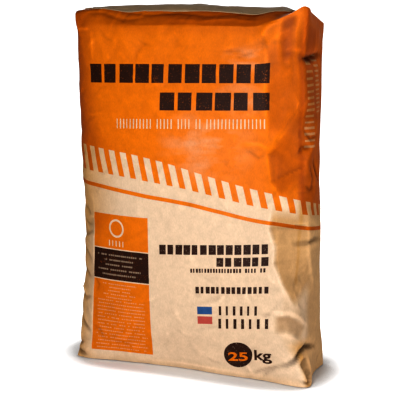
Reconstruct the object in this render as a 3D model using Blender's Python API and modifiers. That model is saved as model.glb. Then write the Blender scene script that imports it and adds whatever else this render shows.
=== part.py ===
"""A filled 25 kg cement bag: a pasted kraft paper valve sack standing on its end.

Metres, +Z up. The printed front faces -Y and the bag stands on z = 0, centred on the origin.
"""

from collections import namedtuple

import bmesh
import bpy
from mathutils import Vector

OBJECT_NAME = "cement_bag"

# Gap that neighbouring pieces keep. A sheet laid over the dome is faceted, so it needs a little more.
SEAT_GAP = 0.0003
LAID_GAP = 0.0005

# Cover sheets, one on each end.
SHEET_THICKNESS = 0.0008
SHEET_LENGTH = 0.292
SHEET_WIDTH = 0.080
SHEET_CORNER = 0.006
CORNER_SEGMENTS = 3
GRID_STEP = 0.004
# A sheet starts flat above the bag and drops straight down onto it.
DROP_HEIGHT = 1.0

# Valve sleeve at the left end of the top, under the cover sheet, which steps up over it.
SLEEVE_THICKNESS = 0.0010
SLEEVE_WIDTH = 0.062
SLEEVE_LEFT = -0.163
SLEEVE_RIGHT = -0.085
STEP_LENGTH = 0.020

# The filled tube. Each cage ring is one level of the sack, from the bottom end to the top end.
# Squareness is the exponent of the ring's rounded outline: 2 is an ellipse, high values a box.
Ring = namedtuple("Ring", "height half_width half_depth squareness")
BODY_FLOOR = SHEET_THICKNESS + SEAT_GAP
TOP_RIM = 0.468
RINGS = (
    Ring(BODY_FLOOR, 0.171, 0.060, 24.0),
    Ring(0.052, 0.178, 0.064, 4.0),
    Ring(0.145, 0.175, 0.068, 2.6),
    Ring(0.240, 0.173, 0.069, 2.4),
    Ring(0.335, 0.175, 0.067, 2.6),
    Ring(0.425, 0.178, 0.062, 4.0),
    Ring(TOP_RIM, 0.167, 0.056, 24.0),
)
SPANS = len(RINGS) - 1
SMOOTHING_LEVELS = 2

# The top end is domed along its middle. Two opposite corners of it stand up as ears.
# The powers say how flat each stays before it falls to the rim or climbs to the corner.
CROWN_RISE = 0.028
CROWN_POWER_ACROSS = 6
CROWN_POWER_ALONG = 3
EAR_RISE = 0.026
EAR_POWER_ACROSS = 6
EAR_POWER_ALONG = 4

# sRGB colour and roughness of each paper.
PRINTED_PAPER = ("printed_kraft_paper", (0.86, 0.40, 0.08), 0.55)
KRAFT_PAPER = ("plain_kraft_paper", (0.72, 0.53, 0.34), 0.75)
SLEEVE_PAPER = ("sleeve_paper", (0.80, 0.66, 0.47), 0.70)


def clear_scene():
    """Remove every object that the scene starts with."""
    for obj in list(bpy.data.objects):
        bpy.data.objects.remove(obj, do_unlink=True)


def linear(srgb):
    """Linear value of one sRGB channel."""
    return srgb / 12.92 if srgb <= 0.04045 else ((srgb + 0.055) / 1.055) ** 2.4


def paper_material(name, srgb, roughness):
    """A matt paper material."""
    material = bpy.data.materials.new(name)
    material.use_nodes = True
    shader = material.node_tree.nodes["Principled BSDF"]
    colour = [linear(channel) for channel in srgb]
    shader.inputs["Base Color"].default_value = (*colour, 1.0)
    shader.inputs["Roughness"].default_value = roughness
    shader.inputs["Metallic"].default_value = 0.0
    material.diffuse_color = (*colour, 1.0)
    return material


def add_object(name, bm, collection, paper):
    """Make an object of a bmesh and give it its paper."""
    mesh = bpy.data.meshes.new(name)
    bm.to_mesh(mesh)
    bm.free()
    mesh.materials.append(paper_material(*paper))
    obj = bpy.data.objects.new(name, mesh)
    collection.objects.link(obj)
    return obj


def rounded_point(across, along, ring):
    """Place a point of the square from -1 to 1 inside the ring's rounded outline."""
    reach = max(abs(across), abs(along))
    if reach == 0:
        return 0.0, 0.0
    power = ring.squareness
    norm = (abs(across) ** power + abs(along) ** power) ** (1 / power)
    scale = reach / norm
    return across * scale * ring.half_width, along * scale * ring.half_depth


def top_rise(across, along):
    """Height of the top end above its rim: the dome, and the ears at front right and back left."""
    dome = CROWN_RISE * (1 - across**CROWN_POWER_ACROSS) * (1 - abs(along) ** CROWN_POWER_ALONG)
    if across * along >= 0:
        return dome
    return dome + EAR_RISE * across**EAR_POWER_ACROSS * along**EAR_POWER_ALONG


def is_end_face(face):
    """Whether a face of the starting box belongs to an end of the sack and not to its tube."""
    return abs(face.normal.z) > abs(face.normal.x) + abs(face.normal.y)


def add_sack_body(collection):
    """The filled paper tube: a subdivided box shaped ring by ring, with folded rims and corners."""
    bm = bmesh.new()
    crease = bm.edges.layers.float.new("crease_edge")
    pin = bm.verts.layers.float.new("crease_vert")
    bmesh.ops.create_cube(bm, size=2.0)
    bmesh.ops.subdivide_edges(bm, edges=bm.edges, cuts=SPANS - 1, use_grid_fill=True)
    bm.normal_update()
    for edge in bm.edges:
        if len({is_end_face(face) for face in edge.link_faces}) == 2:
            edge[crease] = 1.0
            edge.smooth = False
    for face in bm.faces:
        face.smooth = True
    for vert in bm.verts:
        if len(vert.link_edges) == 3:
            vert[pin] = 1.0
        across, along, up = vert.co
        level = round((up + 1) / 2 * SPANS)
        ring = RINGS[level]
        x, y = rounded_point(across, along, ring)
        rise = top_rise(across, along) if level == SPANS else 0.0
        vert.co = Vector((x, y, ring.height + rise))
    body = add_object("sack_body", bm, collection, PRINTED_PAPER)
    smoothing = body.modifiers.new("filled_form", "SUBSURF")
    smoothing.levels = SMOOTHING_LEVELS
    smoothing.render_levels = SMOOTHING_LEVELS
    return body


def paper_rectangle(left, right, width):
    """A flat sheet from left to right, centred on y = 0 and cut into a fine grid."""
    bm = bmesh.new()
    strips = round((right - left) / GRID_STEP)
    rows = round(width / GRID_STEP)
    bmesh.ops.create_grid(bm, x_segments=strips, y_segments=rows, size=0.5)
    bmesh.ops.scale(bm, vec=(right - left, width, 1.0), verts=bm.verts)
    bmesh.ops.translate(bm, vec=((left + right) / 2, 0.0, 0.0), verts=bm.verts)
    return bm


def round_corners(bm):
    """Cut the four corners of a sheet to a small radius."""
    corners = [vert for vert in bm.verts if len(vert.link_edges) == 2]
    bmesh.ops.bevel(
        bm,
        geom=corners,
        offset=SHEET_CORNER,
        affect="VERTICES",
        segments=CORNER_SEGMENTS,
        profile=0.5,
        material=-1,
    )


def lay_on(sheet, body):
    """Drop a sheet straight down onto the top end of the sack, leaving the seat gap."""
    sheet.location.z = DROP_HEIGHT
    drop = sheet.modifiers.new("laid_on_sack", "SHRINKWRAP")
    drop.target = body
    drop.wrap_method = "PROJECT"
    drop.use_project_z = True
    drop.use_positive_direction = False
    drop.use_negative_direction = True
    drop.offset = LAID_GAP


def thicken(sheet, thickness):
    """Give a sheet its thickness, upward from the face that lies on what carries it."""
    solidify = sheet.modifiers.new("paper_thickness", "SOLIDIFY")
    solidify.thickness = thickness
    solidify.offset = 1.0


def step_over_sleeve(sheet):
    """Lift the end of the top cover sheet over the valve sleeve, with a smooth step down."""
    group = sheet.vertex_groups.new(name="over_sleeve")
    for vert in sheet.data.vertices:
        share = min(1.0, max(0.0, 1.0 - (vert.co.x - SLEEVE_RIGHT) / STEP_LENGTH))
        group.add([vert.index], share * share * (3 - 2 * share), "REPLACE")
    lift = sheet.modifiers.new("step_over_sleeve", "DISPLACE")
    lift.direction = "Z"
    lift.mid_level = 0.0
    lift.strength = SLEEVE_THICKNESS + SEAT_GAP
    lift.vertex_group = group.name


def add_top_cover_sheet(collection, body):
    """The sheet pasted over the top end and over the valve sleeve."""
    bm = paper_rectangle(-SHEET_LENGTH / 2, SHEET_LENGTH / 2, SHEET_WIDTH)
    sheet = add_object("top_cover_sheet", bm, collection, KRAFT_PAPER)
    lay_on(sheet, body)
    step_over_sleeve(sheet)
    thicken(sheet, SHEET_THICKNESS)
    return sheet


def add_bottom_cover_sheet(collection):
    """The sheet pasted over the bottom end, which the bag stands on."""
    bm = bmesh.new()
    bmesh.ops.create_grid(bm, x_segments=1, y_segments=1, size=0.5)
    bmesh.ops.scale(bm, vec=(SHEET_LENGTH, SHEET_WIDTH, 1.0), verts=bm.verts)
    round_corners(bm)
    sheet = add_object("bottom_cover_sheet", bm, collection, KRAFT_PAPER)
    thicken(sheet, SHEET_THICKNESS)
    return sheet


def add_valve_sleeve(collection, body):
    """The flat filling sleeve under the left end of the top cover sheet."""
    bm = paper_rectangle(SLEEVE_LEFT, SLEEVE_RIGHT, SLEEVE_WIDTH)
    sleeve = add_object("valve_sleeve", bm, collection, SLEEVE_PAPER)
    lay_on(sleeve, body)
    thicken(sleeve, SLEEVE_THICKNESS)
    return sleeve


def main():
    clear_scene()
    bag = bpy.data.collections.new(OBJECT_NAME)
    bpy.context.scene.collection.children.link(bag)
    body = add_sack_body(bag)
    add_top_cover_sheet(bag, body)
    add_bottom_cover_sheet(bag)
    add_valve_sleeve(bag, body)


main()
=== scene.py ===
"""Looks of a filled 25 kg cement bag: a printed kraft paper valve sack that stands on its end.

Metres, +Z up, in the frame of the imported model. The printed front faces -Y.
"""

import math
from collections import namedtuple

import bmesh
import bpy
import numpy as np
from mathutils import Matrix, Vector
from mathutils.bvhtree import BVHTree
from mathutils.geometry import barycentric_transform, delaunay_2d_cdt


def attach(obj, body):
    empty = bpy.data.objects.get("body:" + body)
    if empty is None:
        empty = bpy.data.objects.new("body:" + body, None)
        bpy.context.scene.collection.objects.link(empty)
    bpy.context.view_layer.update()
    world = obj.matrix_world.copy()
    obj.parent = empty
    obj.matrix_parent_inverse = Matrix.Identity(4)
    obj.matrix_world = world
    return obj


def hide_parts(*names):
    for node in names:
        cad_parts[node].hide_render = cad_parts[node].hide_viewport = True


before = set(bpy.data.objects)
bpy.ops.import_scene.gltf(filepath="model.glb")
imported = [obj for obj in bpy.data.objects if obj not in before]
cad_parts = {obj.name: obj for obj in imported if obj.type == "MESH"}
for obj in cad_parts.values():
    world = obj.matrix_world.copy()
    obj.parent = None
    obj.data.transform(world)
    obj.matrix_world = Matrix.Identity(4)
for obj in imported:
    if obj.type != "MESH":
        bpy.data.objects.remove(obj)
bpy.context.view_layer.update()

# The sack, level by level from the floor to the rim of its top end: how far the paper reaches from
# the middle each way, and how square its left and right edges are. 2 is an oval, more nearer a box.
Level = namedtuple("Level", "height left right front back left_square right_square")
LEVELS = (
    Level(0.000, 0.166, 0.170, 0.057, 0.058, 14.0, 14.0),
    Level(0.025, 0.166, 0.170, 0.060, 0.061, 8.0, 9.0),
    Level(0.060, 0.168, 0.168, 0.064, 0.065, 4.8, 6.2),
    Level(0.110, 0.168, 0.169, 0.067, 0.067, 3.4, 4.4),
    Level(0.180, 0.169, 0.172, 0.069, 0.068, 2.9, 3.0),
    Level(0.260, 0.171, 0.171, 0.069, 0.069, 2.9, 2.8),
    Level(0.340, 0.174, 0.167, 0.068, 0.068, 2.9, 3.3),
    Level(0.400, 0.172, 0.163, 0.064, 0.065, 3.6, 5.0),
    Level(0.440, 0.168, 0.163, 0.060, 0.061, 7.0, 7.0),
    Level(0.468, 0.165, 0.162, 0.057, 0.057, 14.0, 14.0),
)
FLOOR_GAP = 0.0011
HALF_DEPTH = 0.057
RIM_HEIGHT = LEVELS[-1].height
SHEET_GAP = 0.0004

# Paper grid before it is smoothed.
CELLS_ACROSS = 64
CELLS_DEEP = 34
CELLS_HIGH = 96
RIM_CREASE = 1.0
SHARP_ANGLE = math.radians(32)

# The domed top end and its lifted corner at the front right.
CROWN_RISE = 0.027
CROWN_POWER = 3.2
CROWN_SQUARER = 6.0
EAR_RISE = 0.023
EAR_START = 0.64
EAR_POWER = 1.2
EAR_REACH = 0.012
# The dome is less full towards its ends: by what share, and over what range from -1 to 1.
LEFT_LOSS = 0.27
LEFT_LOSS_POWER = 1.6
RIGHT_LOSS = 0.17
RIGHT_LOSS_RANGE = (-0.1, 0.65)
DOME_END = (0.70, 1.0)
SQUARER_RANGE = (0.55, 1.0)
# Where the rise of the top end and the flare of the ear set in and are full, as shares of the sack.
RISE_RANGE = (0.84, 1.0)
FLARE_ACROSS = (0.5, 1.0)
FLARE_UP = (0.62, 0.80)

# Where the paper is held and can't crease: round the sides, near the rim there, and at the back and
# side edges of the ends, which are from -1 to 1.
SIDE_AROUND = (0.160, 0.185)
RIM_HOLD = (0.0, 0.014)
BACK_HOLD = (1.0, 0.75)
SIDE_HOLD = (1.0, 0.9)
ON_EDGE = 0.9999

# Cover sheet and valve sleeve on the top end.
SHEET_LENGTH = 0.292
SHEET_WIDTH = 0.080
SHEET_THICKNESS = 0.0005
SLEEVE_LEFT = -0.160
SLEEVE_RIGHT = -0.085
SLEEVE_WIDTH = 0.062
SLEEVE_THICKNESS = 0.0010
SHEET_CORNER = 0.006
SLEEVE_CORNER = 0.004
SHEET_CELL = 0.004
DOWN = Vector((0.0, 0.0, -1.0))

# The printed text climbs to the right, more so low on the bag, where the paper has crept up.
CREEP_START = -0.045
CREEP_END = 0.130
CREEP_SLOPE = 0.12
CREEP_FADE = 0.24
CREEP_LEFT = (0.25, 0.35)
CREEP_ROUND = (0.25, 0.40)
# Two neighbours of the paper grid lie this far apart only where the joint in the back parts them.
JOINT_JUMP = 0.3
# Smoothing averages the two sides of the joint within this many metres of it, and the way round, in
# millimetres, comes out below this.
JOINT_NEAR = 0.006
JOINT_AVERAGED = 420


def smoothstep(low, high, value):
    """0 below low, 1 above high and a smooth rise between them."""
    share = np.clip((value - low) / (high - low), 0.0, 1.0)
    return share * share * (3.0 - 2.0 * share)


def stretch(rise, fall, value):
    """1 along a stretch, with a smooth rise into it and a smooth fall out of it."""
    return smoothstep(*rise, value) * smoothstep(*fall, value)


def level_at(height):
    """The reach and squareness of the sack at any height, on smooth curves that don't overshoot."""
    heights = np.array([level.height for level in LEVELS])
    columns = np.array(LEVELS)
    steps = np.diff(columns, axis=0) / np.diff(heights)[:, None]
    before, after = steps[:-1], steps[1:]
    same_way = before * after > 0
    inner = np.where(same_way, 2 * before * after / np.where(same_way, before + after, 1), 0)
    slopes = np.concatenate([steps[:1], inner, steps[-1:]])
    index = np.clip(np.searchsorted(heights, height) - 1, 0, len(heights) - 2)
    span = (heights[index + 1] - heights[index])[:, None]
    share = (height - heights[index])[:, None] / span
    start, end = columns[index], columns[index + 1]
    return (
        (1 + 2 * share) * (1 - share) ** 2 * start
        + share * (1 - share) ** 2 * span * slopes[index]
        + share**2 * (3 - 2 * share) * end
        + share**2 * (share - 1) * span * slopes[index + 1]
    )


def top_rise(across, deep):
    """Height of the top end above its rim: a dome, and the lifted ear at the front right corner."""
    left_loss = LEFT_LOSS * np.clip(-across, 0, 1) ** LEFT_LOSS_POWER
    fullness = 1.0 - left_loss - RIGHT_LOSS * smoothstep(*RIGHT_LOSS_RANGE, across)
    fullness = fullness * (1.0 - smoothstep(*DOME_END, across))
    power = CROWN_POWER + CROWN_SQUARER * smoothstep(*SQUARER_RANGE, -across)
    dome = CROWN_RISE * (1.0 - np.abs(deep) ** power) * fullness
    ear = np.clip((across - EAR_START) / (1.0 - EAR_START), 0, 1) ** EAR_POWER
    return dome + EAR_RISE * ear * (1.0 - deep) / 2


def paper_box():
    """A closed box from -1 to 1, cut into the paper grid, with its two rims marked as folds."""
    bm = bmesh.new()
    bmesh.ops.create_cube(bm, size=2.0)
    for axis, cells in enumerate((CELLS_ACROSS, CELLS_DEEP, CELLS_HIGH)):
        edges = [
            edge for edge in bm.edges
            if abs(edge.verts[0].co[axis] - edge.verts[1].co[axis]) > 1.9
        ]
        bmesh.ops.subdivide_edges(bm, edges=edges, cuts=cells - 1, use_grid_fill=True)
    crease = bm.edges.layers.float.new("crease_edge")
    for edge in bm.edges:
        flat = [abs(face.normal.z) > 0.5 for face in edge.link_faces]
        if any(flat) and not all(flat):
            edge[crease] = RIM_CREASE
    return bm


def fill_out(place):
    """Turn points of the paper box into points of the filled sack."""
    across, deep, up = place.T
    height = (up + 1) / 2 * RIM_HEIGHT
    _, left, right, front, back, left_square, right_square = level_at(height).T
    squareness = np.where(across > 0, right_square, left_square)
    reach = np.maximum(np.abs(across), np.abs(deep))
    norm = (np.abs(across) ** squareness + np.abs(deep) ** squareness) ** (1 / squareness)
    scale = reach / np.maximum(norm, 1e-9)
    x = across * scale * np.where(across > 0, right, left)
    y = deep * scale * np.where(deep > 0, back, front)
    rise = top_rise(across, deep) * smoothstep(*RISE_RANGE, height / RIM_HEIGHT)
    flare = smoothstep(*FLARE_ACROSS, across) * smoothstep(*FLARE_UP, height / RIM_HEIGHT)
    x = x + EAR_REACH * (1.0 - deep) / 2 * flare
    return np.stack([x, y, FLOOR_GAP + height + rise], axis=1)


def read_array(items, name, size=1, kind=float):
    """One property of some items of a mesh as an array. A property with a size gets a row for each."""
    values = np.empty(len(items) * size, kind)
    items.foreach_get(name, values)
    return values.reshape(-1, size) if size > 1 else values


def points_of(mesh):
    """The vertex places of a mesh as an array."""
    return read_array(mesh.vertices, "co", 3)


def point_values(mesh, name):
    """One number for each vertex of a mesh, as an array."""
    return read_array(mesh.attributes[name].data, "value")


def keep_values(mesh, name, values):
    """Keep one number for each vertex of a mesh under a name."""
    mesh.attributes.new(name, "FLOAT", "POINT").data.foreach_set("value", values)


def move_points(mesh, places):
    """Give a mesh new vertex places."""
    mesh.vertices.foreach_set("co", places.ravel())
    mesh.update()


def put_in_scene(name, data):
    """Put a mesh, a text, a light or a camera in the scene as an object at the origin."""
    obj = bpy.data.objects.new(name, data)
    bpy.context.scene.collection.objects.link(obj)
    return obj


def add_object(name, bm, material=None):
    """Put a finished bmesh in the scene."""
    mesh = bpy.data.meshes.new(name)
    bm.to_mesh(mesh)
    bm.free()
    if material:
        mesh.materials.append(material)
    return put_in_scene(name, mesh)


def evaluated_mesh(obj):
    """The shape that an object has with its modifiers, or that a text has as a mesh."""
    graph = bpy.context.evaluated_depsgraph_get()
    return bpy.data.meshes.new_from_object(obj.evaluated_get(graph), depsgraph=graph)


def apply_modifiers(obj):
    """Keep the evaluated shape and drop the modifiers."""
    mesh = evaluated_mesh(obj)
    obj.modifiers.clear()
    obj.data = mesh


def thicken(obj, thickness):
    """Give a sheet or a film its thickness, outwards."""
    wall = obj.modifiers.new("thickness", "SOLIDIFY")
    wall.thickness = thickness
    wall.offset = 1.0
    apply_modifiers(obj)


def paper_coordinates(box_points, places):
    """The way round and the height of each point of the paper, and how free it is to crease."""
    across, deep, up = box_points.T
    wall = np.maximum(np.abs(across), np.abs(deep)) > ON_EDGE
    angle = np.round(np.arctan2(across, -deep), 6)
    # The two ends carry on from the front wall, as if unfolded from it.
    around = places[:, 0].copy()
    height = (up + 1) / 2 * RIM_HEIGHT + np.sign(up) * ~wall * (1.0 + deep) * HALF_DEPTH
    for level in np.unique(np.round(up[wall], 6)):
        ring = np.flatnonzero(wall & (np.abs(up - level) < 1e-5))
        ring = ring[np.argsort(angle[ring])]
        steps = np.linalg.norm(np.diff(places[ring][:, :2], axis=0), axis=1)
        length = np.concatenate([[0.0], np.cumsum(steps)])
        front = np.argmin(np.abs(across[ring]) + (deep[ring] > 0) * 9)
        around[ring] = length - length[front]
    side = smoothstep(*SIDE_AROUND, np.abs(around))
    free_wall = 1.0 - side * (1.0 - smoothstep(*RIM_HOLD, RIM_HEIGHT - height))
    free_end = smoothstep(*BACK_HOLD, deep) * smoothstep(*SIDE_HOLD, np.abs(across))
    free = np.where(wall, free_wall, np.where(up > 0, free_end, 0.0))
    return around, height, free


# Corners that the paper is pulled out to: where from, by how much, and over what radius, in metres.
Pull = namedtuple("Pull", "centre shift radius")
PULLS = (
    Pull((0.172, -0.055, 0.490), (0.004, -0.003, 0.002), 0.014),
    Pull((0.176, -0.058, 0.432), (-0.005, 0.003, 0.000), 0.030),
    Pull((0.168, -0.055, 0.000), (0.017, -0.009, 0.000), 0.034),
    Pull((-0.150, -0.058, 0.000), (-0.001, -0.008, 0.000), 0.040),
    Pull((-0.010, -0.058, 0.000), (0.000, 0.006, 0.000), 0.060),
)

# Folds and dents of the paper, in millimetres: how deep, how wide, the line's points as the way round
# from the front's middle and the height, and how much the side to the right of the line sinks, if it
# does. A negative depth is a ridge. A single point is a round dent.
Fold = namedtuple("Fold", "depth width points sink", defaults=[0.0])
FOLDS = (
    # The lifted corner at the top right, its facets and the pocket under it.
    Fold(-3.0, 3.5, ((113, 452), (119, 462), (128, 466), (150, 468), (168, 468))),
    Fold(1.5, 2.6, ((114, 456), (118, 446), (124, 435)), 0.8),
    Fold(1.2, 3.0, ((128, 446), (142, 440), (150, 444)), 0.8),
    Fold(1.4, 3.0, ((141, 419), (152, 415), (164, 417)), 1.0),
    Fold(-2.0, 3.0, ((146, 432), (158, 430), (172, 428))),
    Fold(10.0, 3.9, ((170, 422), (182, 421), (204, 422), (240, 427))),
    Fold(-3.0, 3.5, ((171, 432), (171, 466))),
    Fold(1.2, 3.0, ((60, 437), (88, 437))),
    Fold(1.2, 3.0, ((80, 428), (106, 436))),
    # The long slanting fold on the right of the front, and the pockets on the edge beside it.
    Fold(1.6, 2.6, ((166, 364), (156, 350), (142, 332), (126, 309))),
    Fold(1.4, 3.0, ((122, 304), (112, 300), (98, 309))),
    Fold(-1.6, 3.0, ((92, 318), (112, 318), (128, 312))),
    Fold(4.5, 3.2, ((168, 305), (176, 311), (190, 312))),
    Fold(3.0, 2.4, ((178, 334), (192, 322), (210, 326))),
    Fold(4.0, 2.8, ((188, 286), (196, 272), (192, 256))),
    Fold(6.0, 4.5, ((198, 296), (206, 284), (222, 262))),
    Fold(2.4, 3.5, ((176, 262), (186, 256), (200, 258))),
    Fold(4.5, 3.5, ((226, 183), (204, 186), (185, 184), (165, 184)), 2.5),
    # The bottom right corner block.
    Fold(-1.8, 3.0, ((128, 97), (157, 96), (176, 86), (194, 72))),
    Fold(10.0, 3.8, ((148, 26), (160, 33), (172, 42), (190, 45), (226, 36))),
    Fold(5.0, 3.5, ((160, 7), (170, 4), (184, 8))),
    Fold(2.0, 2.4, ((104, 8), (126, 19), (150, 27)), 0.5),
    Fold(1.4, 2.2, ((118, 4), (124, 14), (134, 20)), 0.8),
    Fold(-0.9, 1.8, ((-60, 6), (20, 7), (90, 6), (150, 6))),
    # The left edge, puckered from the middle down, and its bottom corner.
    Fold(2.6, 4.0, ((-176, 216), (-160, 212), (-146, 204)), 1.0),
    Fold(2.2, 3.5, ((-174, 196), (-158, 190), (-142, 192)), 1.0),
    Fold(3.0, 4.0, ((-176, 172), (-162, 174), (-144, 182)), 1.0),
    Fold(2.6, 3.5, ((-172, 154), (-158, 150), (-144, 140)), 1.2),
    Fold(4.0, 4.5, ((-178, 120), (-164, 122), (-148, 116))),
    Fold(-2.6, 4.0, ((-180, 98), (-168, 98), (-156, 92))),
    Fold(3.0, 3.5, ((-170, 88), (-156, 84), (-144, 88))),
    Fold(-1.6, 4.0, ((-139, 232), (-137, 196), (-139, 150), (-136, 118), (-139, 70), (-137, 20))),
    Fold(4.5, 3.0, ((-178, 66), (-168, 60), (-158, 50), (-141, 40)), 2.0),
    Fold(4.5, 4.0, ((-176, 22), (-162, 19), (-152, 22))),
    Fold(6.0, 4.5, ((-170, 9), (-158, 7), (-146, 5))),
    Fold(1.6, 4.0, ((-136, 118), (-128, 108), (-132, 98)), 0.8),
    Fold(1.6, 4.0, ((-138, 50), (-126, 44), (-118, 30)), 0.8),
    # The wrinkled front half of the top end.
    Fold(2.0, 1.8, ((-146, 476), (-118, 479), (-84, 474), (-58, 477)), 1.2),
    Fold(2.4, 2.0, ((-96, 486), (-52, 481), (-10, 484), (30, 479), (64, 482)), 1.2),
    Fold(-1.6, 2.2, ((-20, 474), (24, 472), (70, 476), (108, 473))),
    Fold(2.4, 2.2, ((-130, 496), (-80, 499), (-34, 493)), 1.0),
    Fold(2.6, 2.4, ((-24, 503), (22, 497), (66, 501), (112, 492)), 1.4),
    Fold(2.0, 2.0, ((58, 488), (92, 485), (126, 490)), 1.0),
    # The upper left, nearly smooth.
    Fold(-1.4, 2.5, ((-133, 462), (-133, 421))),
    Fold(-2.2, 2.5, ((-160, 463), (-138, 463))),
    Fold(1.0, 3.0, ((-120, 462), (-112, 452), (-100, 446)), 0.5),
)

# How many times its width a fold is felt away, and how many its sunk side. It fades out at its ends,
# but not quite to nothing.
FOLD_REACH = 5.0
SINK_REACH = 3.0
FOLD_ENDS = (0.03, 0.97)

# Flats that cut off the sack's rounded edge to the right of a line: how deep they cut at their middle,
# how far that is from the line, how much painted shade they get, from 0 to 1, and the line's points.
Flat = namedtuple("Flat", "depth reach worn points")
FLATS = (
    Flat(
        9.5, 27.0, 0.8,
        ((168, 90), (156, 112), (145, 132), (133, 160), (134, 182), (126, 206), (131, 244)),
    ),
    Flat(
        6.5, 26.0, 0.6,
        ((150, 236), (128, 268), (123, 305), (142, 332), (156, 350), (173, 382)),
    ),
    Flat(4.0, 13.0, 0.5, ((132, 92), (157, 93), (176, 84), (194, 70))),
    Flat(8.5, 12.0, 0.8, ((171, 0), (167, 14), (161, 31))),
    Flat(1.0, 22.0, 1.0, ((174, 330), (174, 400), (172, 470))),
    Flat(2.0, 12.0, 0.8, ((140, 412), (136, 444), (141, 476))),
    Flat(4.5, 26.0, 0.5, ((124, 318), (121, 380), (121, 424), (119, 452))),
)
# Where a flat has faded in and starts to fade out, as shares of its line.
FLAT_IN = (0.0, 0.25)
FLAT_OUT = (1.0, 0.75)
# Its patch of painted shade starts over this many millimetres, ends at this many times the reach over
# as many, and is full this much sooner than the cut at both ends.
FLAT_SHADE_START = 5.0
FLAT_SHADE_REACH = 2.2
FLAT_SHADE_END = 10.0
FLAT_SHADE_SOONER = 1.6


def beside_line(place, points):
    """How far each place is from a line, how far along it that is, and how far to its right."""
    lengths = np.linalg.norm(np.diff(points, axis=0), axis=1)
    starts = np.concatenate([[0.0], np.cumsum(lengths)])
    best = np.full(len(place), np.inf)
    along = np.zeros(len(place))
    right = np.zeros(len(place))
    for start, end, length, before in zip(points[:-1], points[1:], lengths, starts):
        way = (end - start) / length
        off = place - start
        share = np.clip(off @ way, 0.0, length)
        distance = np.linalg.norm(off - share[:, None] * way, axis=1)
        closer = distance < best
        best[closer] = distance[closer]
        along[closer] = (before + share[closer]) / starts[-1]
        right[closer] = off[closer, 0] * way[1] - off[closer, 1] * way[0]
    return best, along, right


def pressed_in(around, height, folds):
    """How far some folds press each point of the paper in, in millimetres."""
    total = np.zeros(len(around))
    for fold in folds:
        points = np.array(fold.points, float)
        reach = FOLD_REACH * fold.width
        low, high = points.min(axis=0) - reach, points.max(axis=0) + reach
        near = np.flatnonzero(
            (around > low[0]) & (around < high[0]) & (height > low[1]) & (height < high[1])
        )
        place = np.stack([around[near], height[near]], axis=1)
        if len(points) == 1:
            distance = np.linalg.norm(place - points[0], axis=1)
            total[near] += fold.depth * np.exp(-((distance / fold.width) ** 2))
            continue
        best, along, right = beside_line(place, points)
        taper = np.sqrt(np.sin(np.pi * np.clip(along, *FOLD_ENDS)))
        total[near] += taper * fold.depth * np.exp(-best / fold.width)
        sunk = np.clip(np.tanh(right / fold.width), 0, 1) * np.exp(-best / (SINK_REACH * fold.width))
        total[near] += taper * fold.sink * sunk
    return total


def cut_off(around, height, flats):
    """How far the flats press each point of the paper in, in millimetres, and how much painted shade they
    give it.
    """
    place = np.stack([around, height], axis=1)
    total = np.zeros(len(around))
    worn = np.zeros(len(around))
    for flat in flats:
        best, along, right = beside_line(place, np.array(flat.points, float))
        bow = np.clip(1.0 - (best / flat.reach - 1.0) ** 2, 0.0, 1.0)
        taper = stretch(FLAT_IN, FLAT_OUT, along)
        total += flat.depth * bow * taper * (right > 0)
        # Painted shade on the side of the line where the flat turns away.
        patch = np.clip(best / FLAT_SHADE_START, 0, 1)
        patch = patch * np.clip((FLAT_SHADE_REACH * flat.reach - best) / FLAT_SHADE_END, 0, 1)
        patch = patch * np.clip(FLAT_SHADE_SOONER * taper, 0, 1) * (right > 0)
        worn = np.maximum(worn, patch * flat.worn)
    return total, worn


# Way round to the edge between the front and a side, in millimetres, and to the joint in the back,
# where the paper overlaps.
EDGE_AROUND = 172.0
HALF_ROUND = 442.0
SEAM_WIDTH = 24.0
SEAM_EDGE = 3.0
SEAM_STEP = 0.8
RIM_MM = 1000 * RIM_HEIGHT

# Small creases on the walls and the top end: how many, and two corners of the paper that they are on.
SEED = 25
WALL = ((-430, 12), (430, 455))
CREASES = ((420, *WALL), (70, (-150, 474), (150, 520)))
DENTS = 90
# They are deeper near the upright edges, which are this far apart from the first one on, and near the
# ends: by how much at most, and over what distance that falls off.
EDGES_APART = 285
FIRST_EDGE = 160
CREASE_BASE = 0.45
CREASE_AT_EDGE = (0.9, 30)
CREASE_AT_END = (0.6, 40)
# Ranges of a crease's length, bend, share of its full depth, width and sunk side, and of a dent's
# depth and width.
LENGTHS = (8, 34)
BENDS = (-3, 3)
SHARES = (0.3, 1.0)
WIDTHS = (2.0, 4.5)
SINKS = (-0.6, 0.6)
DENT_DEPTHS = (-1.4, 1.4)
DENT_WIDTHS = (12, 30)


def small_creases(random, count, low, high):
    """Short shallow creases, as in any filled paper sack, deeper near its edges and ends."""
    folds = []
    for _ in range(count):
        centre = random.uniform(low, high)
        worked = CREASE_BASE
        to_edge = abs((abs(centre[0]) % EDGES_APART) - FIRST_EDGE)
        to_end = min(centre[1], abs(RIM_MM - centre[1]))
        for distance, (more, fall) in ((to_edge, CREASE_AT_EDGE), (to_end, CREASE_AT_END)):
            worked += more * math.exp(-distance / fall)
        angle = random.uniform(0, math.pi)
        half = np.array([math.cos(angle), math.sin(angle)]) * random.uniform(*LENGTHS) / 2
        bend = random.uniform(*BENDS, 2)
        depth = random.uniform(*SHARES) * worked * random.choice([-1, 1])
        points = (centre - half, centre + bend, centre + half)
        folds.append(Fold(depth, random.uniform(*WIDTHS), points, random.uniform(*SINKS)))
    return folds


def soft_dents(random, count):
    """Broad dents and swellings where the powder has settled."""
    folds = []
    for _ in range(count):
        points = (random.uniform(*WALL),)
        folds.append(Fold(random.uniform(*DENT_DEPTHS), random.uniform(*DENT_WIDTHS), points))
    return folds


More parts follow.
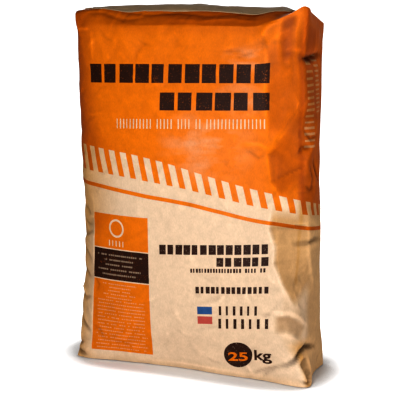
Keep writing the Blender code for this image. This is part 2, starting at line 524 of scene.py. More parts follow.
# Nets of flat facets that crumpling leaves in the paper: distance between corners and depth, in
# millimetres, and how far a corner may lie off its grid, as a share of the distance.
CRUMPLES = ((34.0, 1.5), (13.0, 0.42))
CRUMPLE_JITTER = 0.45
PAPER_LEFT, PAPER_RIGHT = -500.0, 500.0
PAPER_LOW, PAPER_HIGH = -150.0, 630.0
# How loose the paper is, and so how deep its facets are: on the flat front, and how much more in two
# stretches of the way round and near the top of the wall.
LOOSE_FRONT = 0.40
LOOSE_EDGES = ((0.80, (85, 150), (260, 170)), (0.60, (-125, -160), (-260, -200)))
LOOSE_TOP = 0.3
LOOSE_HEIGHT = (420, 460)


def crumple(random, spacing, depth, around, height):
    """Height of a net of flat facets over the paper, from a jittered grid of corners."""
    corners = [
        (across, up)
        for across in np.arange(PAPER_LEFT, PAPER_RIGHT + spacing, spacing)
        for up in np.arange(PAPER_LOW, PAPER_HIGH + spacing, spacing)
    ]
    jitter = random.uniform(-CRUMPLE_JITTER, CRUMPLE_JITTER, (len(corners), 2))
    corners = np.array(corners) + jitter * spacing
    net, _, faces, *_ = delaunay_2d_cdt([Vector(corner) for corner in corners], [], [], 0, 1e-6)
    heights = random.uniform(-depth, depth, len(net))
    facets = BVHTree.FromPolygons([(*corner, up) for corner, up in zip(net, heights)], faces)
    spots = [Vector((*spot, 100.0)) for spot in zip(around, height)]
    return np.array([facets.ray_cast(spot, DOWN)[0].z for spot in spots])


# Rounds of smoothing that a point is compared with to see how proud it stands.
RIDGE_ROUNDS = 6


def ridges(mesh, places, normals):
    """How far each point stands proud of its neighbourhood, in millimetres. Hollows are negative."""
    one, other = read_array(mesh.edges, "vertices", 2, np.int32).T
    points = len(places)
    count = np.bincount(one, minlength=points) + np.bincount(other, minlength=points)
    smooth = places
    for _ in range(RIDGE_ROUNDS):
        total = [
            np.bincount(one, column[other], points) + np.bincount(other, column[one], points)
            for column in smooth.T
        ]
        smooth = np.stack(total, axis=1) / count[:, None]
    return 1000 * ((places - smooth) * normals).sum(axis=1)


# The bands beside the left and the right edge that are darkened, partly dirt from handling and partly
# painted shade, in millimetres: how wide, how much wider along one stretch of the height, where it
# widens and where it narrows again.
Band = namedtuple("Band", "width more widens narrows")
BANDS = (Band(52.0, 45.0, (170, 215), (350, 290)), Band(12.0, 18.0, (20, 60), (150, 110)))
# How much less the paper is darkened beside the ends than beside the edges, and within how far.
END_LESS = 0.3
END_BAND = (0.0, 14.0)
# How much the sides are darkened, partly dirt and partly painted shade, and how much painted shade
# the top end gets at its left and more from there to the ear.
SIDE_DIRT_AND_SHADE = 0.75
TOP_PAINTED_SHADE = 0.4
TOP_RANGE = (-70, 0)
# The low right edge, which is kept lighter, with less of the darkening: along which way round and
# height, and by how much.
LIGHTER_AROUND = ((145, 158), (205, 185))
LIGHTER_HEIGHT = ((48, 62), (135, 115))
LIGHTER_BY = 0.75


def dirt_and_painted_shade(around, height, worn):
    """How much each point of the paper is darkened, from 0 to 1: partly dirt from handling, partly
    painted shade on the edges, the sides, the top end and the flats.
    """
    to_edge = np.abs(np.abs(around) - EDGE_AROUND)
    to_end = np.minimum(np.abs(height), np.abs(RIM_MM - height))
    widths = [band.width + band.more * stretch(band.widens, band.narrows, height) for band in BANDS]
    away = smoothstep(0.0, np.where(around < 0, *widths), to_edge)
    dirt_and_shade = 1.0 - away * (1.0 - END_LESS + END_LESS * smoothstep(*END_BAND, to_end))
    dirt_and_shade = np.where(np.abs(around) > EDGE_AROUND, np.maximum(dirt_and_shade, SIDE_DIRT_AND_SHADE), dirt_and_shade)
    lighter_patch = stretch(*LIGHTER_AROUND, around) * stretch(*LIGHTER_HEIGHT, height)
    dirt_and_shade = np.maximum(dirt_and_shade * (1.0 - LIGHTER_BY * lighter_patch), worn)
    on_top = TOP_PAINTED_SHADE * (1.0 + smoothstep(*TOP_RANGE, around))
    return np.where(height > RIM_MM, np.maximum(dirt_and_shade, on_top), dirt_and_shade)


def crease_paper(mesh):
    """Press the folds, the dents and the small creases into the smooth sack."""
    places = points_of(mesh)
    normals = read_array(mesh.vertex_normals, "vector", 3)
    around = 1000 * point_values(mesh, "around")
    height = 1000 * point_values(mesh, "height")
    free = point_values(mesh, "free")
    in_back = (np.abs(places[:, 0]) < JOINT_NEAR) & (places[:, 1] > 0)
    around[in_back & (np.abs(around) < JOINT_AVERAGED)] = np.abs(around).max()
    random = np.random.default_rng(SEED)
    folded = pressed_in(around, height, FOLDS)
    for count, low, high in CREASES:
        folded += pressed_in(around, height, small_creases(random, count, low, high))
    cut, worn = cut_off(around, height, FLATS)
    press = folded + cut + pressed_in(around, height, soft_dents(random, DENTS))
    seam_start = HALF_ROUND - SEAM_WIDTH
    press -= SEAM_STEP * smoothstep(seam_start - SEAM_EDGE, seam_start, around)
    loose = LOOSE_FRONT
    for more, rise, fall in LOOSE_EDGES:
        loose = loose + more * stretch(rise, fall, around)
    loose = loose + LOOSE_TOP * smoothstep(*LOOSE_HEIGHT, height)
    for spacing, depth in CRUMPLES:
        press += loose * crumple(random, spacing, depth, around, height)
    smooth_proud = ridges(mesh, places, normals)
    places -= normals * (free * press / 1000)[:, None]
    for pull in PULLS:
        distance = np.linalg.norm(places - pull.centre, axis=1)
        places += np.array(pull.shift) * np.exp(-((distance / pull.radius) ** 2))[:, None]
    places[:, 2] = np.maximum(places[:, 2], FLOOR_GAP)
    move_points(mesh, places)
    proud = ridges(mesh, places, normals) - smooth_proud
    # Dirt from handling and painted shade, which darken the paper and the orange.
    keep_values(mesh, "dirt_and_shade", dirt_and_painted_shade(around, height, worn))
    keep_values(mesh, "hollow", np.clip(folded / 10, -1, 1))
    keep_values(mesh, "proud", np.clip(proud, -1, 1))


def print_creep(around, height):
    """How far the print stands above its own level where the paper has crept up."""
    reach = np.clip(around, None, CREEP_END) - CREEP_START
    reach = np.where(reach < 0, reach * smoothstep(*CREEP_LEFT, height), reach)
    fade = 1.0 - smoothstep(*CREEP_ROUND, np.abs(around))
    return (CREEP_SLOPE - CREEP_FADE * height) * reach * fade


def map_paper(mesh, box_points, places, around, height):
    """Give the sack its map: the flat paper in metres from its middle, less the creep of the print."""
    corner = read_array(mesh.loops, "vertex_index", 1, np.int32)
    _, deep, up = box_points[corner].reshape(-1, 4, 3).transpose(2, 0, 1)
    across = around[corner].reshape(-1, 4)
    level = height[corner].reshape(-1, 4)
    # A face that crosses the joint in the back takes the way round of the paper on its left.
    jump = np.ptp(across, axis=1) > JOINT_JUMP
    crossing = across[jump]
    across[jump] = np.where(crossing < 0, crossing + 2 * np.abs(crossing).max(), crossing)
    for way, rim in ((1, RIM_HEIGHT), (-1, 0.0)):
        end = (way * up > ON_EDGE).all(axis=1)
        across[end] = places[corner][:, 0].reshape(-1, 4)[end]
        level[end] = rim + way * (1.0 + deep[end]) * HALF_DEPTH
    spots = np.stack([across, level - print_creep(across, level)], axis=2) + 0.5
    mesh.uv_layers.new(name="paper").uv.foreach_set("vector", spots.ravel())


def printed_sack():
    """The printed paper sack."""
    sack = add_object("printed_sack", paper_box())
    mesh = sack.data
    box_points = points_of(mesh)
    places = fill_out(box_points)
    around, height, free = paper_coordinates(box_points, places)
    move_points(mesh, places)
    keep_values(mesh, "around", around)
    keep_values(mesh, "height", height)
    keep_values(mesh, "free", free)
    map_paper(mesh, box_points, places, around, height)
    smooth = sack.modifiers.new("smooth", "SUBSURF")
    smooth.levels = smooth.render_levels = 1
    apply_modifiers(sack)
    crease_paper(sack.data)
    sack.data.shade_smooth()
    sack.data.set_sharp_from_angle(angle=SHARP_ANGLE)
    return sack


def linear(colour):
    """A hex sRGB colour as linear RGBA."""
    parts = [int(colour[i:i + 2], 16) / 255 for i in (1, 3, 5)]
    return (*[c / 12.92 if c <= 0.04045 else ((c + 0.055) / 1.055) ** 2.4 for c in parts], 1.0)


def add_node(tree, kind, *links, **settings):
    """Add a node with its settings, and feed its inputs in order: a node, an output or a value."""
    new = tree.nodes.new("ShaderNode" + kind)
    for name, value in settings.items():
        setattr(new, name, value)
    for socket, value in zip(new.inputs, links):
        if isinstance(value, bpy.types.Node):
            value = value.outputs[0]
        if isinstance(value, bpy.types.NodeSocket):
            tree.links.new(value, socket)
        elif value is not None:
            socket.default_value = value
    return new


def new_material(name):
    """A new material, with its nodes and its shader."""
    material = bpy.data.materials.new(name)
    material.use_nodes = True
    tree = material.node_tree
    return material, tree, tree.nodes["Principled BSDF"]


def chain(tree, kind, value, *steps):
    """Feed a value through nodes of one kind: each step is an operation and its other inputs."""
    for operation, *others in steps:
        value = add_node(tree, kind, value, *others, operation=operation)
    return value


def joined(tree, operation, values):
    """Some masks or shades, joined one after the other by an operation."""
    return chain(tree, "Math", values[0], *[(operation, value) for value in values[1:]])


def window(tree, place, left, right, low, high):
    """1 inside a rectangle of the print, whose sides are in millimetres, and 0 outside."""
    centre = ((left + right) / 2, (low + high) / 2, 0.0)
    half = ((right - left) / 2, (high - low) / 2, 0.0)
    off = chain(tree, "VectorMath", place, ("SUBTRACT", centre), ("ABSOLUTE",), ("SUBTRACT", half))
    x, y, _ = add_node(tree, "SeparateXYZ", off).outputs
    return chain(tree, "Math", x, ("MAXIMUM", y), ("LESS_THAN", 0.0))


def marks(tree, along, pitch, share, spread, left_out):
    """1 on plain printed marks side by side, uneven in width, some left out as between words."""
    steps = add_node(tree, "Math", along, 1.0 / pitch, operation="MULTIPLY")
    cell = add_node(tree, "Math", steps, operation="FLOOR")
    chance = add_node(tree, "TexWhiteNoise", None, cell, noise_dimensions="1D")
    width = add_node(tree, "Math", chance, spread, share - spread / 2, operation="MULTIPLY_ADD")
    other = add_node(tree, "SeparateColor", chance.outputs[1])
    kept = add_node(tree, "Math", other.outputs[1], left_out, operation="GREATER_THAN")
    return chain(tree, "Math", steps, ("FRACT",), ("LESS_THAN", width), ("MULTIPLY", kept))


# A line of print in millimetres of paper: its sides, the pitch of its marks, the share of the pitch
# that a mark fills, how much that varies, and the share of the marks that is left out.
Line = namedtuple("Line", "left right low high pitch share spread left_out")
DARK_LINES = (
    Line(-138, 127, 392.5, 417.5, 24.4, 0.80, 0.16, 0.0),
    Line(-27, 127, 356.2, 380.0, 26.4, 0.80, 0.16, 0.0),
    Line(-28, 128, 160.0, 173.5, 12.14, 0.77, 0.2, 0.0),
    Line(56, 128, 143.5, 155.8, 12.3, 0.77, 0.2, 0.0),
    Line(18, 128, 134.8, 140.6, 4.1, 0.62, 0.3, 0.06),
    Line(25, 128, 105.5, 115.0, 7.5, 0.66, 0.3, 0.0),
    Line(59, 114, 75.0, 88.0, 10.1, 0.34, 0.1, 0.0),
    Line(58, 129, 56.0, 70.0, 11.0, 0.36, 0.1, 0.0),
)
PALE_LINES = (
    Line(-99, 125, 331.5, 344.5, 5.2, 0.30, 0.1, 0.2),
    Line(-110, -80, 165.5, 173.5, 6.0, 0.30, 0.1, 0.0),
)
# Lines of print that run up the right side of the bag, and how strong they and the small print are.
SIDE_LINES = (
    Line(180, 202, 303, 418, 8.4, 0.38, 0.16, 0.06),
    Line(210, 228, 350, 423, 6.0, 0.38, 0.16, 0.06),
)
SIDE_STRENGTH = 0.62
FINE_STRENGTH = 0.36

# A block of small print: its sides, the pitch of its rows, and how far a row may fall short of the
# sides. Then the share of a row that the marks stand in, how far the marks of the next row are
# shifted, and the marks' pitch, share, spread and how many are left out.
Block = namedtuple("Block", "left right low high row ragged")
FINE_HEIGHT = 0.33
FINE_SHIFT = 977.0
FINE_MARKS = (3.4, 0.78, 0.3, 0.08)
SMALL_PRINT = (
    Block(-131, -55, 124.0, 158.0, 6.8, 0.45),
    Block(-121, -65, 91.0, 115.0, 4.9, 0.40),
    Block(-132, -51, 18.0, 90.0, 4.9, 0.12),
)
# The panel at the lower left: its sides, and the heights of it, its black box and the two bare gaps.
PANEL_SIDES = (-137.0, -45.0)
PANEL_HEIGHTS = ((14.5, 210.0), (118.0, 160.5), (160.5, 162.0), (116.5, 118.0))
RING_CENTRE = (-96.0, 191.0)
RING_RADIUS = 11.5
RING_WIDTH = 2.8
SQUARES = ((27.0, 49.0, 76.0, 87.0, "#2a4c78"), (27.0, 49.0, 62.0, 73.0, "#a84a40"))
OVAL_CENTRE = (84.5, 17.5)
OVAL_RADII = (20.5, 18.6)
# The weight: the print that it lies in, the size of its text, and the middles in millimetres of the
# numerals and the unit, with how much each is stretched across and up.
WEIGHT_AREA = (50.0, 150.0, -20.0, 60.0)
TEXT_SIZE = 24.0
NUMERALS = ((84.5, 14.0), (1.23, 0.72))
UNIT = ((118.8, 16.9), (1.10, 0.86))
TEXT_BOLD = 0.6
TEXT_CELL = 3.0
TEXT_MERGE = 0.01
INK_LIFT = 0.0001
INK_THICKNESS = 0.00005
# Where the orange is paler, partly rubbed thin and partly a painted sheen of the key light: middles and
# radii, how it fades in, from the radius inwards, the streaks' fineness across and up and their range,
# and how much of the ink stays.
RUBS_AND_SHEEN = (((40.0, 308.0), (76.0, 60.0)), ((96.0, 424.0), (40.0, 24.0)), ((84.0, 370.0), (40.0, 28.0)))
RUB_AND_SHEEN_FADE = (0.3, 1.0, 1.0, 0.0)
RUB_AND_SHEEN_STREAKS = (0.022, 0.05, 1.0)
STREAK_RANGE = (0.42, 0.66, 0.1, 1.0)
RUB_AND_SHEEN_COVER = 0.66

# Colours of the paper and the inks: clean paper and paper darkened by dirt and painted shade, the
# same for the orange, and near black.
PAPER = ("#ccb094", "#b98b54")
ORANGE = ("#d06c00", "#a44c00")
NEAR_BLACK = "#2c150a"
# Ranges of a noise, a height or a value of the paper, and what they become.
FIBRE_SHADE = (0.3, 0.7, 0.92, 1.08)
CLOUD_SHADE = (0.3, 0.7, 0.90, 1.08)
# Painted shade on the orange low on the bag.
ORANGE_PAINTED_SHADE_LOW = (220.0, 320.0, 0.93, 1.0)
DARK_RUBBED = (0.60, 0.74, 1.0, 0.72)
# Painted shade in the folds, darker the deeper they are.
FOLD_PAINTED_SHADE = (0.2, 0.8, 1.0, 0.3)
# Painted shade in the hollows and painted light on the ridges of the paper.
PROUD_PAINTED_LIGHT_AND_SHADE = (-0.6, 0.6, 0.72, 1.28)
INK_ROUGH = (0.0, 1.0, 0.65, 0.55)
# How much sooner ink rubs off where the paper stands proud, and how fine the scratches are: 1.9 mm.
PROUD_RUB = 0.16
SCRATCH_SCALE = 520.0
# Fibres are drawn 1.1 mm across and three times as long, because real ones are too fine to show. The
# clouds in the paper are 11 mm. Both are scales of a noise, per metre.
FIBRE_SCALE = 900.0
FIBRE_LENGTH = (1.0, 1.0, 0.35)
CLOUD_SCALE = 90.0
FIBRE_BUMP = (0.25, 0.0004)


def printed_ellipse(tree, place, centre, radii):
    """Distance from the centre of an ellipse of the print, as a share of its radii."""
    scale = (1.0 / radii[0], 1.0 / radii[1], 0.0)
    steps = (("SUBTRACT", (*centre, 0.0)), ("MULTIPLY", scale), ("LENGTH",))
    return chain(tree, "VectorMath", place, *steps).outputs["Value"]


def printed_lines(tree, place, along, lines, first):
    """The mask of several lines of print, whose marks follow each other along one direction."""
    masks = []
    for line in lines:
        start = add_node(tree, "Math", along, getattr(line, first), operation="SUBTRACT")
        row = marks(tree, start, *line[4:])
        box = window(tree, place, *line[:4])
        masks.append(joined(tree, "MULTIPLY", [box, row]))
    return joined(tree, "MAXIMUM", masks)


def small_print(tree, place, around, up, block):
    """The mask of rows of small plain marks, each row centred and a little shorter than the block."""
    left, right, low, high, pitch, ragged = block
    middle, half = (left + right) / 2, (right - left) / 2
    box = window(tree, place, left, right, low, high)
    rows = add_node(tree, "Math", up, 1.0 / pitch, -low / pitch, operation="MULTIPLY_ADD")
    row = add_node(tree, "Math", rows, operation="FLOOR")
    inside = chain(tree, "Math", rows, ("FRACT",), ("LESS_THAN", FINE_HEIGHT))
    chance = add_node(tree, "TexWhiteNoise", None, row, noise_dimensions="1D")
    reach = add_node(tree, "Math", chance, -half * ragged, half, operation="MULTIPLY_ADD")
    short = chain(tree, "Math", around, ("SUBTRACT", middle), ("ABSOLUTE",), ("LESS_THAN", reach))
    shifted = add_node(tree, "Math", row, FINE_SHIFT, around, operation="MULTIPLY_ADD")
    return joined(tree, "MULTIPLY", [box, inside, short, marks(tree, shifted, *FINE_MARKS)])


# The toothed edge of the orange print and the thin line under it: way round and height, in
# millimetres. A tooth starts at the way round given here where it crosses the tooth level.
TOOTH_TIPS = ((-221, 272), (-103, 266), (-25, 257), (51, 241), (127, 222), (221, 205))
TOOTH_ROOTS = ((-221, 311), (-107, 301), (-33, 289), (46, 267), (122, 245), (221, 220))
THIN_LINE = (
    (-221, 257), (-161, 251), (-112, 247), (4, 231.5), (60, 219), (113, 205.5), (221, 187)
)
CURVE_REACH = 221.0
CURVE_TOP = 500.0
THIN_LINE_WIDTH = 5.4
TOOTH_PITCH = 17.9
TOOTH_SHARE = 0.53
TOOTH_SLANT = 0.23
TOOTH_START = -157.0
TOOTH_LEVEL = 283.0


def height_curve(tree, way, points):
    """The height, in millimetres, of a printed edge at each point of the way round."""
    share = add_node(tree, "MapRange", way, -CURVE_REACH, CURVE_REACH, 0.0, 1.0)
    curve = add_node(tree, "FloatCurve", 1.0, share)
    knots = curve.mapping.curves[0].points
    spots = [((x + CURVE_REACH) / (2 * CURVE_REACH), y / CURVE_TOP) for x, y in points]
    for knot, spot in zip(knots, (spots[0], spots[-1])):
        knot.location = spot
    for spot in spots[1:-1]:
        knots.new(*spot)
    curve.mapping.update()
    return add_node(tree, "Math", curve, CURVE_TOP, operation="MULTIPLY")


def kraft_base(tree):
    """The shades of brown kraft paper: its fibres, and the clouds that they gather in."""
    where = add_node(tree, "TexCoord").outputs["Object"]
    long_fibres = add_node(tree, "Mapping", where, None, None, FIBRE_LENGTH)
    fibres = add_node(tree, "TexNoise", long_fibres, None, FIBRE_SCALE, 4.0)
    clouds = add_node(tree, "TexNoise", where, None, CLOUD_SCALE, 6.0, 0.72)
    return fibres, clouds


def fibre_bump(tree, shader, fibres):
    """Let the fibres stand up a little."""
    bump = add_node(tree, "Bump", *FIBRE_BUMP, None, fibres)
    tree.links.new(bump.outputs[0], shader.inputs["Normal"])


def shade_surface(tree, shader, colour, *shades):
    """Give the surface a colour, shaded by what some values become in their ranges."""
    shades = [add_node(tree, "MapRange", value, *become) for value, become in shades]
    shade = joined(tree, "MULTIPLY", shades)
    shaded = add_node(tree, "VectorMath", colour, None, None, shade, operation="SCALE")
    tree.links.new(shaded.outputs[0], shader.inputs["Base Color"])


def toothed_field(tree, around, up):
    """Masks of the orange field, its teeth and the thin line under them."""
    # The printed edges are mirrored on the back, so that they meet round the bag.
    size, side = [add_node(tree, "Math", around, operation=name) for name in ("ABSOLUTE", "SIGN")]
    back = chain(tree, "Math", HALF_ROUND, ("SUBTRACT", size), ("MULTIPLY", side))
    on_back = add_node(tree, "Math", size, CURVE_REACH, operation="GREATER_THAN")
    way = add_node(tree, "Mix", on_back, None, around, back)
    above_tips, above_roots = [
        add_node(tree, "Math", up, height_curve(tree, way, points), operation="GREATER_THAN")
        for points in (TOOTH_TIPS, TOOTH_ROOTS)
    ]
    line = height_curve(tree, way, THIN_LINE)
    start = -TOOTH_START - TOOTH_LEVEL * TOOTH_SLANT
    lean = add_node(tree, "Math", up, TOOTH_SLANT, start, operation="MULTIPLY_ADD")
    steps = (("ADD", lean), ("MULTIPLY", 1.0 / TOOTH_PITCH), ("FRACT",), ("GREATER_THAN", TOOTH_SHARE))
    teeth = chain(tree, "Math", way, *steps, ("MULTIPLY", above_tips))
    thin_line = chain(tree, "Math", up, ("SUBTRACT", line), ("COMPARE", 0.0, THIN_LINE_WIDTH / 2))
    return [above_roots, teeth, thin_line]


def print_masks(tree, place, around, up):
    """Masks of the orange ink, the near black over it, and the paper that is left bare."""
    panel, black, gap_above, gap_below = [
        window(tree, place, *PANEL_SIDES, *heights) for heights in PANEL_HEIGHTS
    ]
    orange = joined(tree, "MAXIMUM", [*toothed_field(tree, around, up), panel])
    oval = printed_ellipse(tree, place, OVAL_CENTRE, OVAL_RADII)
    oval = add_node(tree, "Math", oval, 1.0, operation="LESS_THAN")
    dark_lines = printed_lines(tree, place, around, DARK_LINES, "left")
    dark = joined(tree, "MAXIMUM", [dark_lines, black, oval])
    ring = printed_ellipse(tree, place, RING_CENTRE, (RING_RADIUS, RING_RADIUS))
    ring = add_node(tree, "Math", ring, 1.0, RING_WIDTH / RING_RADIUS / 2, operation="COMPARE")
    side_print = printed_lines(tree, place, up, SIDE_LINES, "low")
    side_print = joined(tree, "MULTIPLY", [side_print, SIDE_STRENGTH])
    fine = [small_print(tree, place, around, up, block) for block in SMALL_PRINT]
    fine = joined(tree, "MULTIPLY", [joined(tree, "MAXIMUM", fine), FINE_STRENGTH])
    pale_lines = printed_lines(tree, place, around, PALE_LINES, "left")
    pale = joined(tree, "MAXIMUM", [gap_above, gap_below, pale_lines, ring, side_print, fine])
    return orange, dark, pale


def orange_cover(tree, place):
    """How much of the orange is left: paler streaky patches on the bulging parts, partly rubbed on the
    pallet and partly a painted sheen.
    """
    rubs_and_sheen = [
        add_node(tree, "MapRange", printed_ellipse(tree, place, centre, radii), *RUB_AND_SHEEN_FADE)
        for centre, radii in RUBS_AND_SHEEN
    ]
    streaks = add_node(tree, "Mapping", place, None, None, RUB_AND_SHEEN_STREAKS)
    streaks = add_node(tree, "TexNoise", streaks, None, 1.0, 4.0)
    streaks = add_node(tree, "MapRange", streaks, *STREAK_RANGE)
    thinned = joined(tree, "MULTIPLY", [joined(tree, "MAXIMUM", rubs_and_sheen), streaks])
    return add_node(tree, "MapRange", thinned, 0.0, 1.0, 1.0, RUB_AND_SHEEN_COVER)


def printed_paper():
    """Brown kraft paper, calendered, with flexographic ink, which is a little glossier than it."""
    material, tree, shader = new_material("flexo_printed_kraft")
    map_node = add_node(tree, "UVMap", uv_map="paper")
    middle = (-500.0, -500.0, 0.0)
    place = add_node(
        tree, "VectorMath", map_node, (1000.0, 1000.0, 0.0), middle, operation="MULTIPLY_ADD"
    )
    axes = add_node(tree, "SeparateXYZ", place)
    around, up = axes.outputs[0], axes.outputs[1]
    orange, dark, pale = print_masks(tree, place, around, up)
    fibres, clouds = kraft_base(tree)
    dirt_and_shade, proud, hollow = [
        add_node(tree, "Attribute", attribute_name=name).outputs["Fac"]
        for name in ("dirt_and_shade", "proud", "hollow")
    ]
    # Ink rubs off where the paper stands proud.
    where = add_node(tree, "TexCoord").outputs["Object"]
    scratches = add_node(tree, "TexNoise", where, None, SCRATCH_SCALE, 3.0)
    rubbed = add_node(tree, "Math", proud, PROUD_RUB, scratches, operation="MULTIPLY_ADD")
    rubbed = add_node(tree, "MapRange", rubbed, *DARK_RUBBED)
    dark_mask = joined(tree, "MULTIPLY", [dark, rubbed])
    # The orange is thinned in patches, partly rubbed and partly painted sheen.
    orange_mask = joined(tree, "MULTIPLY", [orange, orange_cover(tree, place)])
    # Paper and orange darkened by dirt from handling and by painted shade.
    paper, orange_ink = [
        add_node(tree, "MixRGB", dirt_and_shade, *map(linear, colours)) for colours in (PAPER, ORANGE)
    ]
    # Painted shade: the orange is darker low on the bag, where the key light is strongest.
    low_painted_shade = add_node(tree, "MapRange", up, *ORANGE_PAINTED_SHADE_LOW)
    orange_ink = add_node(tree, "VectorMath", orange_ink, None, None, low_painted_shade, operation="SCALE")
    ink = add_node(tree, "MixRGB", orange_mask, paper, orange_ink)
    ink = add_node(tree, "MixRGB", dark_mask, ink, linear(NEAR_BLACK))
    ink = add_node(tree, "MixRGB", pale, ink, paper)
    for *sides, colour in SQUARES:
        ink = add_node(tree, "MixRGB", window(tree, place, *sides), ink, linear(colour))
    # The colour takes painted shade in the folds and hollows and painted light on the ridges, with the
    # fibres and clouds of the paper.
    shade_surface(
        tree, shader, ink,
        (fibres, FIBRE_SHADE), (clouds, CLOUD_SHADE), (hollow, FOLD_PAINTED_SHADE), (proud, PROUD_PAINTED_LIGHT_AND_SHADE),
    )
    inked = chain(tree, "Math", orange, ("MAXIMUM", dark), ("SUBTRACT", pale))
    rough = add_node(tree, "MapRange", inked, *INK_ROUGH)
    tree.links.new(rough.outputs[0], shader.inputs["Roughness"])
    shader.inputs["Specular IOR Level"].default_value = 0.16
    fibre_bump(tree, shader, fibres)
    return material


def one_colour(name, colour, rough, specular, fibre_shade, cloud_shade):
    """A material of one colour, whose shade follows the fibres and the clouds in the paper."""
    material, tree, shader = new_material(name)
    fibres, clouds = kraft_base(tree)
    shade_surface(tree, shader, linear(colour)[:3], (fibres, fibre_shade), (clouds, cloud_shade))
    shader.inputs["Roughness"].default_value = rough
    shader.inputs["Specular IOR Level"].default_value = specular
    return material, tree, shader, fibres


def kraft_paper(name, colour, rough):
    """Plain kraft paper, calendered: fine fibres, matt, with faint clouds of shade."""
    shades = ((0.3, 0.7, 0.88, 1.1), (0.3, 0.7, 0.85, 1.12))
    material, tree, shader, fibres = one_colour(name, colour, rough, 0.25, *shades)
    fibre_bump(tree, shader, fibres)
    return material


def laid_paper(name, left, right, width, corner, thickness, under, material):
    """A rectangle of paper, a flat grid with rounded corners, dropped onto what is under it."""
    length = right - left
    bm = bmesh.new()
    cells = {"x_segments": round(length / SHEET_CELL), "y_segments": round(width / SHEET_CELL)}
    bmesh.ops.create_grid(bm, **cells, size=0.5)
    bmesh.ops.scale(bm, vec=(length, width, 1.0), verts=bm.verts)
    for vert in bm.verts:
        x, y = vert.co.xy
        inner = Vector((math.copysign(length / 2 - corner, x), math.copysign(width / 2 - corner, y)))
        past = vert.co.xy - inner
        if past.x * inner.x > 0 and past.y * inner.y > 0 and past.length > corner:
            vert.co.xy = inner + past.normalized() * corner
    bmesh.ops.translate(bm, vec=((left + right) / 2, 0.0, 0.0), verts=bm.verts)
    graph = bpy.context.evaluated_depsgraph_get()
    trees = [BVHTree.FromObject(obj, graph) for obj in under]
    laid = {}
    for vert in bm.verts:
        above = Vector((vert.co.x, vert.co.y, 1.0))
        hits = [tree.ray_cast(above, DOWN)[0] for tree in trees]
        laid[vert] = max(hit.z for hit in hits if hit) + SHEET_GAP
        vert.co.z = laid[vert]
    # The sheet bridges the hollows: it is smoothed, but not into what is under it.
    for _ in range(4):
        bmesh.ops.smooth_vert(bm, verts=bm.verts, factor=0.5, use_axis_z=True)
        for vert, height in laid.items():
            vert.co.z = max(vert.co.z, height)
    sheet = add_object(name, bm, material)
    thicken(sheet, thickness)
    sheet.data.shade_smooth()
    return sheet


def print_finder(sack, left, right, low, high):
    """A function that turns a point of the print, in millimetres, into a place and normal of the sack."""
    mesh = sack.data
    mesh.calc_loop_triangles()
    layer = mesh.uv_layers["paper"].uv
    flat, solid, faces = [], [], []
    for triangle in mesh.loop_triangles:
        spots = [(Vector(layer[loop].vector) - Vector((0.5, 0.5))) * 1000 for loop in triangle.loops]
        if all(left < spot.x < right and low < spot.y < high for spot in spots):
            faces.append((len(flat), len(flat) + 1, len(flat) + 2))
            flat.extend(Vector((spot.x, spot.y, 0.0)) for spot in spots)
            solid.extend(mesh.vertices[index].co.copy() for index in triangle.vertices)
    tree = BVHTree.FromPolygons(flat, faces)

    def find(across, up):
        spot, _, index, _ = tree.find_nearest(Vector((across, up, 0.0)))
        paper = [flat[corner] for corner in faces[index]]
        one, two, three = [solid[corner] for corner in faces[index]]
        where = barycentric_transform(spot, *paper, one, two, three)
        return where, (two - one).cross(three - one).normalized()

    return find


def printed_text(name, body, centre, stretched, find, ink):
    """Numerals or a unit as a film of ink that follows the paper."""
    font = bpy.data.curves.new(name, "FONT")
    font.body = body
    font.size = TEXT_SIZE
    font.offset = TEXT_BOLD
    font.align_x = font.align_y = "CENTER"
    holder = put_in_scene(name, font)
    flat = evaluated_mesh(holder)
    bpy.data.objects.remove(holder)
    bm = bmesh.new()
    bm.from_mesh(flat)
    bmesh.ops.remove_doubles(bm, verts=bm.verts, dist=TEXT_MERGE)
    for across in (Vector((1, 0, 0)), Vector((0, 1, 0))):
        for cut in np.arange(-TEXT_SIZE, TEXT_SIZE, TEXT_CELL):
            parts = bm.verts[:] + bm.edges[:] + bm.faces[:]
            bmesh.ops.bisect_plane(bm, geom=parts, plane_co=across * cut, plane_no=across)
    for vert in bm.verts:
        spot = [start + at * size for start, at, size in zip(centre, vert.co, stretched)]
        where, normal = find(*spot)
        vert.co = where + normal * INK_LIFT
    film = add_object(name, bm, ink)
    thicken(film, INK_THICKNESS)
    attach(film, "root")
    return film


def flexo_ink(name, colour):
    """Water-based flexographic ink: a thin even film, half matt, with the fibres showing through."""
    return one_colour(name, colour, 0.45, 0.16, (0.3, 0.7, 0.85, 1.15), (0.35, 0.7, 0.9, 1.2))[0]


# Camera, from the photograph's outline.
CAMERA_PLACE = (0.6641, -1.4874, 0.505)
CAMERA_AZIMUTH = math.radians(24.0)
CAMERA_PITCH = math.radians(9.63)
LENS_MM = 107.1
SENSOR_MM = 36.0

# The floor's half width, its grey, and the painted soft shadow on it: its reach, and how open the spot
# has to be before the paper starts to glow and glows fully.
FLOOR_SIZE = 90.0
FLOOR_GREY = 0.8
FLOOR_SHADOW = 0.06
FLOOR_GLOW = (0.74, 1.0, 0.0, 0.9)

# Soft lights: name, place, the point they face, size and power.
SOFTBOXES = (
    ("key", (0.07, -0.60, 0.235), (0.03, 0.0, 0.205), (0.18, 0.80), 3.25),
    ("side_fill", (1.4, -0.40, 0.22), (0.0, 0.0, 0.20), (0.7, 0.6), 6.0),
    ("back", (-0.5, 1.6, 0.9), (0.0, 0.0, 0.25), (1.2, 1.2), 9.0),
)
# Light from the room, stronger from the side than from above.
ROOM_FILL = (0.0, 0.9, 0.34, 0.06)


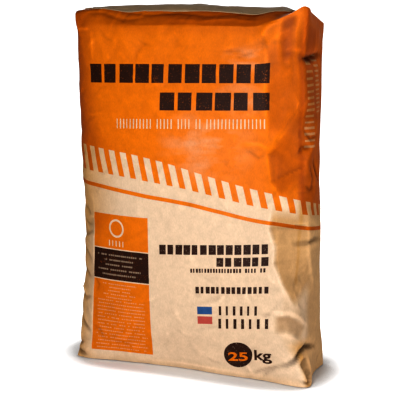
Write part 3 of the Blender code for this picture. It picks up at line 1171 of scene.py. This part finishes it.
def seen_only(tree, shader_socket, seen, unseen):
    """Feed a strength that differs between what the camera sees and what lights the bag."""
    path = add_node(tree, "LightPath")
    strength = add_node(tree, "MapRange", path.outputs[0], 0.0, 1.0, unseen, seen)
    tree.links.new(strength.outputs[0], shader_socket)


def studio_floor():
    """White seamless paper, matt."""
    bm = bmesh.new()
    bmesh.ops.create_grid(bm, x_segments=1, y_segments=1, size=FLOOR_SIZE)
    material, tree, shader = new_material("seamless_paper")
    shader.inputs["Base Color"].default_value = (FLOOR_GREY, FLOOR_GREY, FLOOR_GREY, 1.0)
    shader.inputs["Roughness"].default_value = 1.0
    shader.inputs["Specular IOR Level"].default_value = 0.0
    shader.inputs["Emission Color"].default_value = (1.0, 1.0, 1.0, 1.0)
    # Painted shadow: the paper glows white to the camera, except in a soft shadow at the foot of the bag,
    # darker where less of the sky is open.
    open_sky = add_node(tree, "AmbientOcclusion", None, FLOOR_SHADOW, samples=8)
    glow = add_node(tree, "MapRange", open_sky.outputs["AO"], *FLOOR_GLOW)
    seen_only(tree, shader.inputs["Emission Strength"], glow, 0.0)
    floor = add_object("studio_floor", bm, material)


def add_softbox(name, place, aim, size, power):
    """A rectangular soft light that shines from a place towards a point."""
    data = bpy.data.lights.new(name, "AREA")
    data.shape = "RECTANGLE"
    data.size, data.size_y = size
    data.energy = power
    light = put_in_scene(name, data)
    light.location = place
    light.rotation_euler = (Vector(aim) - Vector(place)).to_track_quat("-Z", "Y").to_euler()
    light.visible_camera = False


def studio():
    """A white floor and backdrop, soft lights, and the camera."""
    studio_floor()
    for softbox in SOFTBOXES:
        add_softbox(*softbox)
    world = bpy.data.worlds.new("studio")
    world.use_nodes = True
    tree = world.node_tree
    background = tree.nodes["Background"]
    background.inputs["Color"].default_value = (1.0, 1.0, 1.0, 1.0)
    up = add_node(tree, "SeparateXYZ", add_node(tree, "TexCoord").outputs["Generated"]).outputs[2]
    fill = add_node(tree, "MapRange", up, *ROOM_FILL)
    seen_only(tree, background.inputs["Strength"], 1.0, fill)
    bpy.context.scene.world = world
    bpy.context.scene.view_settings.view_transform = "Standard"
    bpy.context.scene.view_settings.look = "High Contrast"
    data = bpy.data.cameras.new("camera")
    data.lens = LENS_MM
    data.sensor_width = SENSOR_MM
    camera = put_in_scene("camera", data)
    camera.location = CAMERA_PLACE
    camera.rotation_euler = (math.pi / 2 - CAMERA_PITCH, 0.0, CAMERA_AZIMUTH)
    bpy.context.scene.camera = camera


sack = printed_sack()
sack.data.materials.append(printed_paper())
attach(sack, "root")
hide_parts("sack_body")

find_print = print_finder(sack, *WEIGHT_AREA)
orange_ink = flexo_ink("orange_flexo_ink", "#cd6a00")
dark_ink = flexo_ink("dark_flexo_ink", NEAR_BLACK)
printed_text("weight_numerals", "25", *NUMERALS, find_print, orange_ink)
printed_text("weight_unit", "kg", *UNIT, find_print, dark_ink)

cover_kraft = kraft_paper("machine_finished_kraft", "#b09473", 0.8)
sleeve_kraft = kraft_paper("sleeve_kraft", "#c3a578", 0.7)
sleeve = laid_paper(
    "valve_tube", SLEEVE_LEFT, SLEEVE_RIGHT, SLEEVE_WIDTH, SLEEVE_CORNER, SLEEVE_THICKNESS,
    [sack], sleeve_kraft,
)
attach(sleeve, "root")
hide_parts("valve_sleeve")
cover = laid_paper(
    "pasted_cover", -SHEET_LENGTH / 2, SHEET_LENGTH / 2, SHEET_WIDTH, SHEET_CORNER, SHEET_THICKNESS,
    [sack, sleeve], cover_kraft,
)
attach(cover, "root")
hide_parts("top_cover_sheet")
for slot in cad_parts["bottom_cover_sheet"].material_slots:
    slot.material = cover_kraft

studio()
